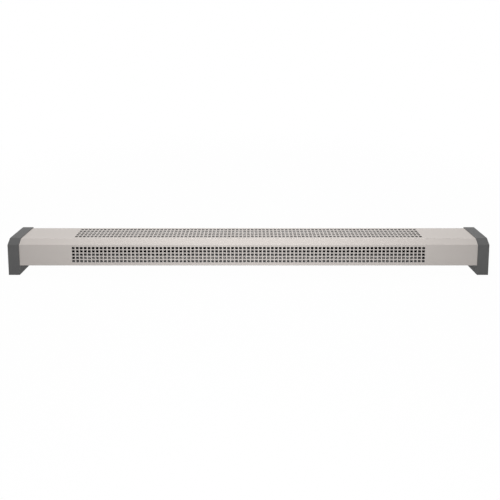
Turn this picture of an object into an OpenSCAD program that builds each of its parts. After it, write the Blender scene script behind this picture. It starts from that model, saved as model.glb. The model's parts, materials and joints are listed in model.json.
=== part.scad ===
// Plinth convector heater: a long, low casing of punched sheet steel between two moulded end caps
// X runs along the heater, -Y is the front, Z is up; the origin is on the floor under the middle

/* [Overall size] */
// Length over both end caps
length = 1450; // [1200:10:2000]
// Depth of the end caps, front to back
depth = 90; // [84:1:110]
// Height of the end caps above the floor
height = 109; // [105:1:130]
// Free height between the floor and the casing
ground_gap = 28; // [22:1:31]
// Rise and depth of the sloping edge between front and top
slope = 15; // [10:1:19]

/* [End caps] */
// Length of each end cap along the heater
cap_l = 34; // [28:1:45]
// Wall of the moulded end caps
cap_wall = 2; // [1.6:0.1:2.6]
// Play between a cap and the casing that slides into it
slip = 0.2; // [0.1:0.05:0.3]
// How far the casing reaches into each cap
lap = 12; // [8:1:16]
// Rounding of the caps' long edges
cap_edge_r = 1.5; // [0.5:0.1:3]
// Bevel round the caps' end faces
cap_bevel = 1; // [0.5:0.1:1.5]
// Thickness of the ribs inside the legs
rib_t = 2; // [1.5:0.1:3]

/* [Punched holes] */
// Width of a hole, along the heater
hole_w = 8.5; // [5:0.5:9]
// Height of a hole in the front
front_hole_h = 7.2; // [4:0.1:7.5]
// Depth of a hole in the top
top_hole_d = 7.5; // [5:0.1:9]
// Spacing of the columns
column_pitch = 12; // [10.5:0.5:16]
// Spacing of the rows in the front
front_pitch = 10.2; // [9:0.1:11]
// Spacing of the rows in the top
top_pitch = 12; // [10:0.1:12.5]
// Rows of holes in each face
hole_rows = 5; // [3:1:5]
// From the sloping edge down to the middle of the first row
first_row_drop = 10; // [8:0.5:12]
// Plain metal between each cap and the first column
plain_end = 157; // [150:1:260]

/* [Sheet metal] */
// Thickness of the casing, chassis and plates
sheet = 1; // [0.8:0.1:1.2]
// Outside radius of the folds
bend_r = 2; // [1.5:0.1:3]
// Width of the casing's return under the front
return_w = 14; // [12:1:18]
// Height of the casing's flange down the back
back_flange = 12; // [10:1:16]
// Height of the chassis' front lip
lip_h = 7; // [5:0.5:8]

/* [Heating element] */
// Diameter of the element's sheath
sheath_d = 8.5; // [7:0.5:10]
// Share of the heater's depth that a fin takes
fin_share = 0.49; // [0.4:0.01:0.5]
// Height of a fin
fin_h = 26; // [22:1:30]
// Thickness of a fin
fin_t = 0.6; // [0.4:0.1:0.8]
// Spacing of the fins
fin_pitch = 4; // [3:0.5:6]
// Height of the element's axis above the chassis base
element_rise = 36; // [33:1:38]

/* [Mounting] */
// Diameter of the fixing holes in the back
wall_hole_d = 5.5; // [4:0.5:6.5]
// Upright spacing of the fixing holes
wall_hole_rise = 44; // [36:1:48]
// Bore of the cable gland
gland_bore_d = 7.5; // [6:0.5:9]

/* [Hidden] */
$fn = 48;

// Overrun of every cut past the face it opens
cut = 1;
// Steps in each rounded fold
arc_steps = 4;
// Share of an inset that a corner of the 45 degree slope moves along its face
mitre_share = tan(22.5);

// Nested skins, measured inwards from the outside of the end caps
casing_in = cap_wall + slip;
chassis_in = casing_in + sheet;
bay_in = chassis_in + sheet;

// Places along the heater, for the right-hand end
cap_x = length / 2 - cap_l;
casing_x = cap_x + lap;
columns = floor((2 * cap_x - 2 * plain_end + column_pitch - hole_w) / column_pitch);
field_l = (columns - 1) * column_pitch + hole_w;
bulkhead_gap = 12;
bulkhead_x = field_l / 2 + bulkhead_gap;
bay_x = bulkhead_x + sheet;

// Heights
base_z = ground_gap + sheet;
floor_z = base_z + sheet;
element_z = floor_z + element_rise;

// Caps
cap_boss_r = 5.5;
cap_boss_y = [-20, 20];
cap_boss_rise = [22, 58];
rib_count = 3;

// Screws and rivets
screw_r = 2;
screw_play = 0.1;
screw_head_r = 3.6;
screw_head_h = 1.9;
screw_l = 9;
recess_w = 1;
recess_l = 4;
rivet_r = 1.6;
rivet_head_r = 3;
rivet_head_h = 1;
flange_w = 12;
casing_screw_count = 6;
rear_screw_count = 5;

// Intake slots in the chassis base
slot_l = 20;
slot_w = 7;
slot_y = 4;
slot_pitch = 100;
slot_side_count = floor((bulkhead_x - flange_w - slot_l / 2) / slot_pitch);

// Element, seen from the end
element_share = 0.055;
element_y = element_share * depth;
fin_d = fin_share * depth;
sheath_r = sheath_d / 2;
sheath_play = 0.1;
sheath_tail = 16;
sheath_x = bulkhead_x + sheath_tail;
bead_l = 4;
bead_r = 3;
stud_r = 1.75;
stud_l = 16;
stud_x = sheath_x + bead_l + stud_l;
nut_r = 3.8;
nut_h = 2.8;
fin_clear = 15;
fin_side_count = floor((bulkhead_x - fin_clear) / fin_pitch);
fin_notch_d = 6;
fin_notch_h = 5;
bush_r = 7;
bush_flange_r = 10;
bush_flange_t = 2;
bush_nose = 3;
support_w = 20;
support_top = 5;
support_share = 0.46;
support_web_x = (floor(support_share * bulkhead_x / slot_pitch) + 0.5) * slot_pitch;
support_x = (floor(support_web_x / fin_pitch) + 0.5) * fin_pitch;

// Reflector and the wiring duct behind it
reflector_t = 0.5;
duct_d = 8;
reflector_tab = 6;
reflector_foot = 8;
reflector_head = 14;
reflector_play = 0.5;
duct_y = depth / 2 - bay_in - duct_d / 2;
duct_rise = 22;
duct_z = floor_z + duct_rise;
reflector_rivet_count = 5;

// Thermal cut-out on the left bulkhead, in front of the element
cutout_r = 8.5;
cutout_l = 9;
cutout_nose_r = 7.2;
cutout_nose_l = 5;
cutout_share = 0.222;
cutout_y = -cutout_share * depth;
clip_t = 0.8;
clip_w = 18;
clip_h = 36;
clip_screw_out = 14;
small_screw_r = 1.3;
small_head_r = 2.5;
small_head_h = 1.2;
tab_w = 6.3;
tab_t = 0.8;
tab_l = 9;
tab_out = 4.5;

// Wiring bay at the left end
block_l = 42;
block_w = 20;
block_h = 15;
block_out = 64;
bay_clear = 1;
pole_pitch = 12;
pole_h = 7;
well_r = 2;
well_out = 5.5;
block_ear = 6;
block_ear_h = 5;
earth_out = 104;
earth_r = 2;
earth_l = 14;
gland_out = 108;
gland_y = 17;
gland_thread_r = 6.2;
gland_head_r = 10;
gland_head_h = 5;
gland_dome_r = 8;
gland_dome_h = 7;
gland_thread_l = 9;
locknut_h = 4;
wall_hole_in = 58;

// Leads
lead_r = 1.3;
lead_play = 0.2;
lead_sides = 8;
lead_steps = 4;
grommet_r = 3.2;
grommet_lip = 0.7;
grommet_lip_t = 0.8;

// Lines of the section, at a distance inside the caps' outside
function front_y(in) = in - depth / 2;
function back_y(in) = depth / 2 - in;
function top_z(in) = height - in;
function slope_z(in) = height - slope - in * mitre_share;
function slope_y(in) = slope - depth / 2 + in * mitre_share;

// Vectors and lists
function unit(v) = v / norm(v);
function left_of(v) = [-v[1], v[0]];
function backwards(p) = [for (i = [len(p) - 1 : -1 : 0]) p[i]];
function turns_left(a, b, c) = cross(b - a, c - b) > 0;

// An open path moved sideways by d, with its corners mitred
function beside(p, d) = [
    for (i = [0 : len(p) - 1])
        let (last = len(p) - 1)
        let (a = unit(p[max(i, 1)] - p[max(i, 1) - 1]))
        let (b = unit(p[min(i + 1, last)] - p[min(i + 1, last) - 1]))
        let (n = left_of(a) + left_of(b))
        p[i] + n * (2 * d / (n * n))
];

// The arc that rounds the corner b between a and c
function corner(a, b, c, r) =
    let (u = unit(a - b), v = unit(c - b))
    let (half = acos(u * v) / 2)
    let (middle = b + unit(u + v) * (r / sin(half)))
    let (from = b + u * (r / tan(half)) - middle)
    let (to = b + v * (r / tan(half)) - middle)
    let (turn = 180 - 2 * half)
    [
        for (k = [0 : arc_steps])
            let (t = k / arc_steps)
            middle + (from * sin((1 - t) * turn) + to * sin(t * turn)) / sin(turn)
    ];

// A path with its corners rounded: one radius where it turns left and one where it turns right
function rounded(p, r_left, r_right) = [
    for (i = [0 : len(p) - 1])
        each (
            i == 0 || i == len(p) - 1
            ? [p[i]]
            : corner(p[i - 1], p[i], p[i + 1],
                     turns_left(p[i - 1], p[i], p[i + 1]) ? r_left : r_right)
        )
];

// The caps' outline, taken in by a distance, from a given height up
function outline(in, low, r) = rounded([
    [front_y(in), low],
    [front_y(in), slope_z(in)],
    [slope_y(in), top_z(in)],
    [back_y(in), top_z(in)],
    [back_y(in), low]
], r, r);

// A smooth route through points, for the leads
function eased(a, b, c, d, t) =
    (2 * b + (c - a) * t + (2 * a - 5 * b + 4 * c - d) * t * t
        + (3 * b - a - 3 * c + d) * t * t * t) / 2;
function smooth(p) = [
    for (i = [0 : len(p) - 2])
        let (a = p[max(i - 1, 0)], d = p[min(i + 2, len(p) - 1)])
        for (k = [0 : lead_steps - 1])
            eased(a, p[i], p[i + 1], d, k / lead_steps),
    p[len(p) - 1]
];
function headings(p) = [
    for (i = [0 : len(p) - 1])
        unit(p[min(i + 1, len(p) - 1)] - p[max(i - 1, 0)])
];

// Side vectors carried along a route without twist
function carried(t, u, i) =
    let (v = unit(u - (u * t[i]) * t[i]))
    i == len(t) - 1 ? [v] : concat([v], carried(t, v, i + 1));

// Extrusions of a drawn section along one axis
module along_x(from, to) {
    translate([from, 0, 0])
        rotate([90, 0, 90])
            linear_extrude(height = to - from) children();
}

module along_y(from, to) {
    translate([0, to, 0])
        rotate([90, 0, 0])
            linear_extrude(height = to - from) children();
}

// The section of a folded sheet whose outside follows a path, with the metal on its left
module folded(path, t = sheet, r = bend_r) {
    polygon(concat(
        rounded(path, r, r - t),
        backwards(rounded(beside(path, t), r - t, r))
    ));
}

// A round bar along X
module bar_x(from, to, r) {
    translate([from, 0, 0])
        rotate([0, 90, 0])
            cylinder(h = to - from, r = r);
}

// The same piece at the left-hand end
module at_left() {
    mirror([1, 0, 0]) children();
}

module at_both_ends() {
    children();
    at_left() children();
}

module slot(l, w, h) {
    linear_extrude(height = h) {
        square([l - w, w], center = true);
        for (side = [-1, 1])
            translate([side * (l - w) / 2, 0]) circle(r = w / 2);
    }
}

// A screw whose head stands on z = 0 and whose shank points down
module screw(r, l, head_r, head_h) {
    difference() {
        union() {
            cylinder(h = head_h, r = head_r);
            translate([0, 0, -l]) cylinder(h = l + head_h / 2, r = r);
        }
        for (turn = [0, 90])
            translate([0, 0, head_h])
                rotate([0, 0, turn])
                    cube([recess_l * head_r / screw_head_r, recess_w * head_r / screw_head_r,
                          head_h], center = true);
    }
}

// A rivet whose head lies on z = 0, with a grip below and a formed head under it
module rivet(grip) {
    cylinder(h = rivet_head_h, r = rivet_head_r);
    translate([0, 0, -grip]) cylinder(h = grip + rivet_head_h, r = rivet_r);
    translate([0, 0, -grip - rivet_head_h]) cylinder(h = rivet_head_h, r = rivet_head_r);
}

module hex_nut(r, bore_r, h) {
    difference() {
        cylinder(h = h, r = r, $fn = 6);
        translate([0, 0, -cut]) cylinder(h = h + 2 * cut, r = bore_r);
    }
}

// Casing
casing_path = [
    [back_y(casing_in), top_z(casing_in) - back_flange],
    [back_y(casing_in), top_z(casing_in)],
    [slope_y(casing_in), top_z(casing_in)],
    [front_y(casing_in), slope_z(casing_in)],
    [front_y(casing_in), ground_gap],
    [front_y(casing_in) + return_w, ground_gap]
];
column_xs = [for (i = [0 : columns - 1]) (i - (columns - 1) / 2) * column_pitch];
front_row_zs = [for (i = [0 : hole_rows - 1]) slope_z(casing_in) - first_row_drop - i * front_pitch];
top_middle_y = (slope_y(casing_in) + back_y(casing_in)) / 2;
top_row_ys = [for (i = [0 : hole_rows - 1]) top_middle_y + (i - (hole_rows - 1) / 2) * top_pitch];
casing_screw_y = front_y(casing_in) + return_w / 2;
casing_screw_span = 2 * (cap_x - flange_w);
casing_screw_xs = [
    for (i = [0 : casing_screw_count - 1])
        (i / (casing_screw_count - 1) - 0.5) * casing_screw_span
];
rear_screw_z = top_z(casing_in) - back_flange / 2;
rear_screw_xs = [
    for (i = [0 : rear_screw_count - 1])
        (i / (rear_screw_count - 1) - 0.5) * casing_screw_span
];

module front_holes() {
    for (x = column_xs, z = front_row_zs)
        translate([x - hole_w / 2, front_y(casing_in) - cut, z - front_hole_h / 2])
            cube([hole_w, sheet + 2 * cut, front_hole_h]);
}

module top_holes() {
    for (x = column_xs, y = top_row_ys)
        translate([x - hole_w / 2, y - top_hole_d / 2, top_z(casing_in) - sheet - cut])
            cube([hole_w, top_hole_d, sheet + 2 * cut]);
}

module casing_screw_holes() {
    for (x = casing_screw_xs)
        translate([x, casing_screw_y, ground_gap - cut])
            cylinder(h = 2 * sheet + 2 * cut, r = screw_r + screw_play);
}

module rear_screw_holes() {
    for (x = rear_screw_xs)
        translate([x, back_y(bay_in) - cut, rear_screw_z])
            rotate([-90, 0, 0])
                cylinder(h = 2 * sheet + 2 * cut, r = screw_r + screw_play);
}

module casing() {
    color("#c9c5bf")
        difference() {
            along_x(-casing_x, casing_x) folded(casing_path);
            front_holes();
            top_holes();
            casing_screw_holes();
            rear_screw_holes();
        }
}

// End caps
module cap_form() {
    hull() {
        along_x(cap_x, length / 2 - cap_bevel) polygon(outline(0, 0, cap_edge_r));
        along_x(length / 2 - cap_bevel, length / 2)
            polygon(outline(cap_bevel, cap_bevel, cap_edge_r));
    }
}

module cap_mouth() {
    along_x(cap_x - cut, length / 2 - cap_wall)
        polygon(outline(cap_wall, ground_gap, cap_edge_r / 2));
}

module cap_leg_hollows() {
    room = (depth - 2 * cap_wall - (rib_count - 1) * rib_t) / rib_count;
    for (i = [0 : rib_count - 1])
        translate([cap_x + cap_wall, front_y(cap_wall) + i * (room + rib_t), -cut])
            cube([cap_l - 2 * cap_wall, room, ground_gap - cap_wall + cut]);
}

module cap_boss_places() {
    for (i = [0 : 1])
        translate([0, cap_boss_y[i], ground_gap + cap_boss_rise[i]]) children();
}

module end_cap() {
    difference() {
        union() {
            difference() {
                cap_form();
                cap_mouth();
                cap_leg_hollows();
            }
            cap_boss_places() bar_x(casing_x, length / 2 - cap_wall / 2, cap_boss_r);
        }
        cap_boss_places() {
            bar_x(casing_x - cut, length / 2 + cut, screw_r + screw_play);
            bar_x(length / 2 - screw_head_h - cap_bevel, length / 2 + cut,
                  screw_head_r + screw_play);
        }
    }
}

module left_end_cap() color("#66666a") at_left() end_cap();
module right_end_cap() color("#66666a") end_cap();

module cap_screws() {
    cap_boss_places()
        translate([length / 2 - screw_head_h - cap_bevel, 0, 0])
            rotate([0, 90, 0])
                screw(screw_r, length / 2 - casing_x + screw_head_h, screw_head_r, screw_head_h);
}

module left_cap_screws() color("silver") at_left() cap_screws();
module right_cap_screws() color("silver") cap_screws();

// Chassis
chassis_path = [
    [front_y(chassis_in), base_z + lip_h],
    [front_y(chassis_in), base_z],
    [back_y(chassis_in), base_z],
    [back_y(chassis_in), top_z(chassis_in)]
];
return_edge_y = front_y(casing_in) + return_w;
earth_x = -bay_x - earth_out;
earth_y = return_edge_y + bay_clear + screw_head_r;
gland_x = -bay_x - gland_out;
block_x = -bay_x - block_out;
block_y = return_edge_y + bay_clear + small_screw_r + (block_l + block_ear) / 2;
wall_hole_x = casing_x - wall_hole_in;
wall_hole_z = (floor_z + top_z(bay_in)) / 2;
rivet_y = depth / 4;

module intake_slots() {
    for (i = [-slot_side_count : slot_side_count])
        translate([i * slot_pitch, slot_y, base_z - cut])
            slot(slot_l, slot_w, sheet + 2 * cut);
}

module wall_holes() {
    for (x = [-1, 1], z = [-1, 1])
        translate([x * wall_hole_x, back_y(bay_in) - cut, wall_hole_z + z * wall_hole_rise / 2])
            rotate([-90, 0, 0])
                cylinder(h = sheet + 2 * cut, r = wall_hole_d / 2);
}

module flange_rivet_places(x) {
    for (y = [-1, 1])
        translate([x, y * rivet_y, floor_z + sheet]) children();
}

module support_rivet_places() {
    translate([support_x - (flange_w - sheet) / 2, element_y, floor_z + sheet]) children();
}

module flange_rivet_holes(x) {
    flange_rivet_places(x)
        translate([0, 0, -2 * sheet - cut])
            cylinder(h = 2 * sheet + 2 * cut, r = rivet_r + screw_play);
}

module support_rivet_holes() {
    support_rivet_places()
        translate([0, 0, -2 * sheet - cut])
            cylinder(h = 2 * sheet + 2 * cut, r = rivet_r + screw_play);
}

end_plate_rivet_x = casing_x - sheet - (flange_w - sheet) / 2;
bulkhead_rivet_x = bay_x + (flange_w - sheet) / 2;

module block_screw_places() {
    for (side = [-1, 1])
        translate([block_x, block_y + side * (block_l + block_ear) / 2, floor_z]) children();
}

module chassis() {
    color("#a9abad")
        difference() {
            along_x(-casing_x, casing_x) folded(chassis_path);
            intake_slots();
            wall_holes();
            casing_screw_holes();
            rear_screw_holes();
            at_both_ends() {
                flange_rivet_holes(end_plate_rivet_x);
                flange_rivet_holes(bulkhead_rivet_x);
                support_rivet_holes();
            }
            reflector_rivet_holes();
            translate([gland_x, gland_y, base_z - cut])
                cylinder(h = sheet + 2 * cut, r = gland_thread_r + screw_play);
            translate([earth_x, earth_y, base_z - cut])
                cylinder(h = sheet + 2 * cut, r = earth_r + screw_play);
            block_screw_places()
                translate([0, 0, -sheet - cut])
                    cylinder(h = sheet + 2 * cut, r = small_screw_r + screw_play);
        }
}

module casing_screws() {
    color("silver")
        for (x = casing_screw_xs)
            translate([x, casing_screw_y, ground_gap])
                rotate([180, 0, 0])
                    screw(screw_r, screw_l, screw_head_r, screw_head_h);
}

module rear_screws() {
    color("silver")
        for (x = rear_screw_xs)
            translate([x, back_y(casing_in), rear_screw_z])
                rotate([-90, 0, 0])
                    screw(screw_r, screw_l, screw_head_r, screw_head_h);
}

// Plates across the casing
module bay_room(from, to) {
    along_x(from, to) polygon(outline(bay_in, floor_z, bend_r));
}

module end_plate() {
    difference() {
        intersection() {
            bay_room(casing_x - flange_w, casing_x);
            along_y(-depth, depth)
                folded([[casing_x - flange_w, floor_z], [casing_x, floor_z], [casing_x, height]]);
        }
        cap_boss_places() bar_x(casing_x - sheet - cut, casing_x + cut, screw_r + screw_play);
        flange_rivet_holes(end_plate_rivet_x);
    }
}

module left_end_plate() color("#b4b6b8") at_left() end_plate();
module right_end_plate() color("#b4b6b8") end_plate();

module element_place() {
    translate([0, element_y, element_z]) children();
}

module duct_place() {
    translate([0, duct_y, duct_z]) children();
}

module bulkhead() {
    difference() {
        intersection() {
            bay_room(bulkhead_x, bulkhead_x + flange_w);
            along_y(-depth, depth)
                folded([[bulkhead_x, height], [bulkhead_x, floor_z],
                        [bulkhead_x + flange_w, floor_z]]);
        }
        element_place() bar_x(bulkhead_x - cut, bay_x + cut, bush_r + screw_play);
        duct_place() bar_x(bulkhead_x - cut, bay_x + cut, grommet_r + screw_play);
        flange_rivet_holes(bulkhead_rivet_x);
    }
}

module clip_screw_places() {
    for (side = [-1, 1])
        translate([-bay_x, cutout_y, element_z + side * clip_screw_out]) children();
}

module left_bulkhead() {
    color("#b4b6b8")
        difference() {
            at_left() bulkhead();
            translate([0, cutout_y, element_z])
                bar_x(-bay_x - cut, cut - bulkhead_x, cutout_nose_r + screw_play);
            clip_screw_places() bar_x(-cut, sheet + cut, small_screw_r + screw_play);
        }
}

module right_bulkhead() color("#b4b6b8") bulkhead();

module flange_rivets(x) {
    flange_rivet_places(x) rivet(2 * sheet);
}

module end_plate_rivets() color("silver") at_both_ends() flange_rivets(end_plate_rivet_x);
module bulkhead_rivets() color("silver") at_both_ends() flange_rivets(bulkhead_rivet_x);

// Reflector
reflector_low = floor_z + reflector_foot;
reflector_high = top_z(bay_in) - reflector_head;
reflector_path = [
    [back_y(bay_in), reflector_low - reflector_tab],
    [back_y(bay_in), reflector_low],
    [back_y(bay_in) - duct_d, reflector_low],
    [back_y(bay_in) - duct_d, reflector_high],
    [back_y(bay_in), reflector_high],
    [back_y(bay_in), reflector_high + reflector_tab]
];
reflector_x = bulkhead_x - reflector_play;
reflector_rivet_xs = [
    for (i = [0 : reflector_rivet_count - 1])
        ((i + 0.5) / reflector_rivet_count - 0.5) * 2 * reflector_x
];

module reflector_rivet_places() {
    for (x = reflector_rivet_xs)
        translate([x, back_y(bay_in) - reflector_t, reflector_low - reflector_tab * 2 / 3])
            rotate([90, 0, 0]) children();
}

module reflector_rivet_holes() {
    reflector_rivet_places()
        translate([0, 0, -sheet - reflector_t - cut])
            cylinder(h = sheet + reflector_t + 2 * cut, r = rivet_r + screw_play);
}

module reflector() {
    color("#d8d9da")
        difference() {
            along_x(-reflector_x, reflector_x) folded(reflector_path, reflector_t, bend_r / 2);
            reflector_rivet_holes();
        }
}

module reflector_rivets() color("silver") reflector_rivet_places() rivet(sheet + reflector_t);

// Heating element
module element_sheath() color("#4a4a4c") element_place() bar_x(-sheath_x, sheath_x, sheath_r);

module fin_outline() {
    difference() {
        square([fin_d, fin_h], center = true);
        for (side = [-1, 1])
            translate([0, side * fin_h / 2])
                square([fin_notch_d, fin_notch_h], center = true);
        circle(r = sheath_r + sheath_play / 2);
    }
}

module element_fins() {
    color("#3a3a3c")
        element_place()
            for (i = [-fin_side_count : fin_side_count])
                along_x(i * fin_pitch - fin_t / 2, i * fin_pitch + fin_t / 2) fin_outline();
}

module element_beads() {
    color("ivory")
        at_both_ends()
            element_place()
                difference() {
                    bar_x(sheath_x, sheath_x + bead_l, bead_r);
                    bar_x(sheath_x - cut, sheath_x + bead_l + cut, stud_r + sheath_play / 2);
                }
}

module terminal_studs() {
    color("silver") at_both_ends() element_place() bar_x(sheath_x, stud_x, stud_r);
}

module terminal_nuts() {
    color("silver")
        at_both_ends()
            element_place()
                for (i = [1, 3])
                    translate([stud_x - i * nut_h * 1.5, 0, 0])
                        rotate([0, 90, 0]) hex_nut(nut_r, stud_r + sheath_play / 2, nut_h);
}

module element_bush() {
    element_place()
        difference() {
            union() {
                bar_x(bulkhead_x - bush_nose, bay_x + bush_flange_t, bush_r);
                bar_x(bay_x, bay_x + bush_flange_t, bush_flange_r);
            }
            bar_x(bulkhead_x - bush_nose - cut, bay_x + bush_flange_t + cut,
                  sheath_r + sheath_play);
        }
}

module left_element_bush() color("ivory") at_left() element_bush();
module right_element_bush() color("ivory") element_bush();

module element_support() {
    x = support_x + sheet / 2;
    low_y = element_y - support_w / 2;
    difference() {
        along_y(low_y, low_y + support_w)
            folded([[x - flange_w, floor_z], [x, floor_z],
                    [x, element_z + sheath_r + support_top]]);
        element_place() bar_x(x - sheet - cut, x + cut, sheath_r + sheath_play);
        support_rivet_holes();
    }
}

module element_supports() color("#b4b6b8") at_both_ends() element_support();
module support_rivets() color("silver") at_both_ends() support_rivet_places() rivet(2 * sheet);

// Thermal cut-out
module thermal_cutout() {
    color("#2b2b2d")
        translate([-bay_x - clip_t, cutout_y, element_z]) {
            bar_x(-cutout_l, 0, cutout_r);
            bar_x(-cutout_l / 2, clip_t + sheet + cutout_nose_l, cutout_nose_r);
            for (side = [-1, 1])
                translate([-cutout_l - tab_l, side * tab_out - tab_t / 2, -tab_w / 2])
                    cube([tab_l + cutout_l / 2, tab_t, tab_w]);
        }
}

module cutout_clip() {
    color("silver")
        difference() {
            translate([-bay_x - clip_t, cutout_y - clip_w / 2, element_z - clip_h / 2])
                cube([clip_t, clip_w, clip_h]);
            translate([0, cutout_y, element_z])
                bar_x(-bay_x - clip_t - cut, cut - bay_x, cutout_nose_r + screw_play);
            clip_screw_places() bar_x(-clip_t - cut, cut, small_screw_r + screw_play);
        }
}

module clip_screws() {
    color("silver")
        clip_screw_places()
            translate([-clip_t, 0, 0])
                rotate([0, -90, 0])
                    screw(small_screw_r, clip_t + 3 * sheet, small_head_r, small_head_h);
}

// Terminal block
pole_ys = [for (i = [-1 : 1]) block_y + i * pole_pitch];
tunnel_z = floor_z + pole_h;

module terminal_block() {
    color("#e9e6dc")
        difference() {
            union() {
                translate([block_x - block_w / 2, block_y - block_l / 2, floor_z])
                    cube([block_w, block_l, block_h]);
                translate([block_x - block_w / 4, block_y - block_l / 2 - block_ear, floor_z])
                    cube([block_w / 2, block_l + 2 * block_ear, block_ear_h]);
            }
            for (y = pole_ys) {
                translate([0, y, tunnel_z])
                    bar_x(block_x - block_w / 2 - cut, block_x + block_w / 2 + cut,
                          lead_r + lead_play);
                for (side = [-1, 1])
                    translate([block_x + side * well_out, y, tunnel_z])
                        cylinder(h = block_h, r = well_r + screw_play);
            }
            for (i = [-1, 1])
                translate([block_x - block_w / 2 - cut, block_y + i * pole_pitch / 2 - sheet / 2,
                           floor_z + block_h * 2 / 3])
                    cube([block_w + 2 * cut, sheet, block_h]);
            block_screw_places()
                translate([0, 0, -cut])
                    cylinder(h = block_ear_h + 2 * cut, r = small_screw_r + screw_play);
        }
}

module clamp_screws() {
    color("#c8a64b")
        for (y = pole_ys, side = [-1, 1])
            translate([block_x + side * well_out, y, tunnel_z + lead_r])
                difference() {
                    cylinder(h = block_h / 3, r = well_r);
                    translate([0, 0, block_h / 3])
                        cube([2 * well_r + cut, recess_w / 2, recess_w * 2], center = true);
                }
}

module block_screws() {
    color("silver")
        block_screw_places()
            translate([0, 0, block_ear_h])
                screw(small_screw_r, block_ear_h + 3 * sheet, small_head_r, small_head_h);
}

// Earth stud
module earth_stud() {
    color("silver")
        translate([earth_x, earth_y, base_z]) {
            translate([0, 0, -screw_head_h]) cylinder(h = screw_head_h, r = screw_head_r);
            translate([0, 0, -screw_head_h / 2]) cylinder(h = earth_l, r = earth_r);
        }
}

module earth_nuts() {
    color("#c8a64b")
        for (i = [0, 1])
            translate([earth_x, earth_y, floor_z + i * (nut_h + 2 * lead_r)])
                hex_nut(nut_r, earth_r + screw_play, nut_h);
}

// Cable gland under the base
module cable_gland() {
    color("#2b2b2d")
        translate([gland_x, gland_y, base_z])
            difference() {
                union() {
                    translate([0, 0, -gland_head_h])
                        cylinder(h = gland_head_h, r = gland_head_r, $fn = 6);
                    translate([0, 0, -gland_head_h - gland_dome_h])
                        cylinder(h = gland_dome_h, r1 = gland_thread_r, r2 = gland_dome_r);
                    translate([0, 0, -gland_head_h])
                        cylinder(h = gland_head_h + gland_thread_l, r = gland_thread_r);
                }
                translate([0, 0, -gland_head_h - gland_dome_h - cut])
                    cylinder(h = gland_head_h + gland_dome_h + gland_thread_l + 2 * cut,
                             r = gland_bore_d / 2);
            }
}

module gland_locknut() {
    color("#2b2b2d")
        translate([gland_x, gland_y, floor_z])
            hex_nut(gland_head_r, gland_thread_r + screw_play / 2, locknut_h);
}

// Lead grommets in the bulkheads
module lead_grommet() {
    duct_place()
        difference() {
            union() {
                bar_x(bulkhead_x - grommet_lip_t, bay_x + grommet_lip_t, grommet_r);
                bar_x(bulkhead_x - grommet_lip_t, bulkhead_x, grommet_r + grommet_lip);
                bar_x(bay_x, bay_x + grommet_lip_t, grommet_r + grommet_lip);
            }
            bar_x(bulkhead_x - grommet_lip_t - cut, bay_x + grommet_lip_t + cut,
                  lead_r + lead_play);
        }
}

module left_lead_grommet() color("#2b2b2d") at_left() lead_grommet();
module right_lead_grommet() color("#2b2b2d") lead_grommet();

// A lead swept along a smooth route
module lead(route) {
    p = smooth(route);
    t = headings(p);
    u = carried(t, unit(cross(t[0], [0.2, 0.5, 1])), 0);
    n = len(p);
    points = [
        for (i = [0 : n - 1], j = [0 : lead_sides - 1])
            let (turn = 360 * j / lead_sides)
            p[i] + lead_r * (cos(turn) * u[i] + sin(turn) * cross(t[i], u[i]))
    ];
    sides = [
        for (i = [0 : n - 2], j = [0 : lead_sides - 1])
            let (a = i * lead_sides + j, b = i * lead_sides + (j + 1) % lead_sides)
            each [[a, a + lead_sides, b], [b, a + lead_sides, b + lead_sides]]
    ];
    near_end = [for (j = [0 : lead_sides - 1]) j];
    far_end = [for (j = [lead_sides - 1 : -1 : 0]) (n - 1) * lead_sides + j];
    polyhedron(points = points, faces = concat(sides, [near_end, far_end]));
}

block_right_x = block_x + block_w / 2;
block_left_x = block_x - block_w / 2;
straight = 3 * lead_r;
tab_x = -bay_x - clip_t - cutout_l - tab_l;

module live_lead() {
    y = pole_ys[0];
    tab_y = cutout_y - tab_out;
    color("#7a3b1e")
        lead([
            [block_right_x - straight, y, tunnel_z],
            [block_right_x + straight, y, tunnel_z],
            [block_right_x + 3 * straight, y, tunnel_z + 2 * straight],
            [(block_right_x + tab_x) / 2, (y + tab_y) / 2, (tunnel_z + element_z) / 2],
            [tab_x - 3 * straight, tab_y, element_z - straight],
            [tab_x - straight, tab_y, element_z],
            [tab_x, tab_y, element_z]
        ]);
}

module element_lead() {
    tab_y = cutout_y + tab_out;
    color("#d8d2c4")
        lead([
            [tab_x, tab_y, element_z],
            [tab_x - straight, tab_y, element_z],
            [-stud_x - 4 * straight, (tab_y + element_y) / 2, element_z + straight],
            [-stud_x - straight, element_y, element_z],
            [-stud_x, element_y, element_z]
        ]);
}

module neutral_lead() {
    y = pole_ys[2];
    color("#3f5fa8")
        lead([
            [block_right_x - straight, y, tunnel_z],
            [block_right_x + straight, y, tunnel_z],
            [(block_right_x - bay_x) / 2, (y + duct_y) / 2, (tunnel_z + duct_z) / 2],
            [-bay_x - straight, duct_y, duct_z],
            [-bulkhead_x + straight, duct_y, duct_z],
            [0, duct_y, duct_z],
            [bulkhead_x - straight, duct_y, duct_z],
            [bay_x + straight, duct_y, duct_z],
            [stud_x, duct_y - 3 * straight, (duct_z + element_z) / 2],
            [stud_x + 4 * straight, (duct_y + element_y) / 2, element_z - straight],
            [stud_x + 2 * straight, element_y, element_z],
            [stud_x, element_y, element_z]
        ]);
}

module earth_lead() {
    y = pole_ys[1];
    z = floor_z + nut_h + lead_r;
    color("#7d9a3c")
        lead([
            [block_left_x + straight, y, tunnel_z],
            [block_left_x - straight, y, tunnel_z],
            [(block_left_x + earth_x) / 2, (y + earth_y) / 2 + straight, tunnel_z + lead_r],
            [earth_x + earth_r + 2 * straight, earth_y, z],
            [earth_x + earth_r + lead_play, earth_y, z]
        ]);
}

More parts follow.
